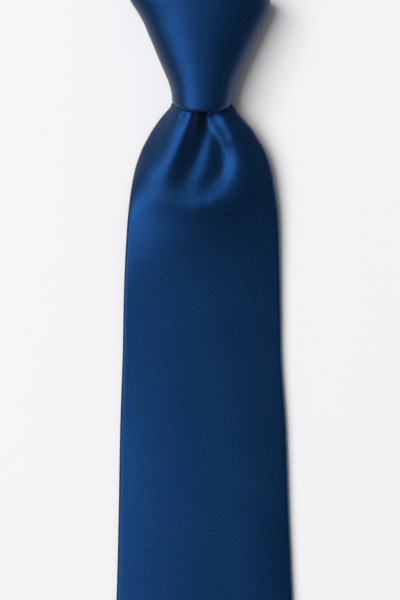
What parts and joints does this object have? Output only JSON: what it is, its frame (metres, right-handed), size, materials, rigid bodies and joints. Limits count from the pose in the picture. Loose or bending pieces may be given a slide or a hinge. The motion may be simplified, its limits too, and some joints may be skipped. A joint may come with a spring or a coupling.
{
  "type": "necktie",
  "caption": "Satin necktie tied in a wide triangular knot with one dimple, lying face up: front blade, tail, keeper and neck loop.",
  "frame": {"origin": "on the surface the tie lies on, below the middle of the whole tied tie", "axes": "+Y from the front blade's tip towards the neck loop, +Z out of the tie's face, +X to the right seen from the face"},
  "size_m": [0.1332, 0.6182, 0.0319],
  "materials": {
    "satin": "navy satin weave",
    "tipping": "plain navy lining",
    "interlining": "brushed off-white wool",
    "thread": "navy thread",
    "label": "woven, blank",
    "care_label": "plain woven tape, blank"
  },
  "bodies": {
    "knot": {"knot_front_wrap": "satin", "knot_back_wrap": "satin", "knot_left_wing": "satin", "knot_right_wing": "satin", "knot_inner_pass": "satin", "blade_throat": "satin", "left_band_end": "satin"},
    "standing_end": {"tail_shell_upper": "satin", "tail_interlining_upper": "interlining"},
    "tail_lower": {"tail_shell_lower": "satin", "tail_interlining_lower": "interlining", "tail_tipping": "tipping"},
    "neck_loop": {"left_band_shell": "satin", "left_band_interlining": "interlining", "crown_band_shell": "satin", "crown_band_interlining": "interlining", "right_band_shell": "satin", "right_band_interlining": "interlining"},
    "front_blade_upper": {"blade_shell_upper": "satin", "blade_interlining_upper": "interlining", "keeper_loop": "satin"},
    "front_blade_lower": {"blade_shell_lower": "satin", "blade_interlining_lower": "interlining", "blade_tipping": "tipping", "blade_bar_tack": "thread", "blade_slip_stitch": "thread", "brand_label": "label", "care_label": "care_label"}
  },
  "joints": [
    {"name": "knot_slide", "type": "slide", "parent": "knot", "child": "standing_end", "axis": [0, 1, 0], "range_m": [0, 0.05]},
    {"name": "loop_tilt", "type": "hinge", "parent": "standing_end", "child": "neck_loop", "pos_m": [0, 0.15808, 0.009], "axis": [1, 0, 0], "range_deg": [0, 80]},
    {"name": "tail_swing", "type": "hinge", "parent": "standing_end", "child": "tail_lower", "pos_m": [0, 0.03408, 0.003], "axis": [1, 0, 0], "range_deg": [0, 60]},
    {"name": "blade_lift", "type": "hinge", "parent": "knot", "child": "front_blade_upper", "pos_m": [0, 0.08608, 0.01215], "axis": [-1, 0, 0], "range_deg": [0, 90]},
    {"name": "blade_fold", "type": "hinge", "parent": "front_blade_upper", "child": "front_blade_lower", "pos_m": [0, -0.11392, 0.00865], "axis": [-1, 0, 0], "range_deg": [0, 165]}
  ]
}
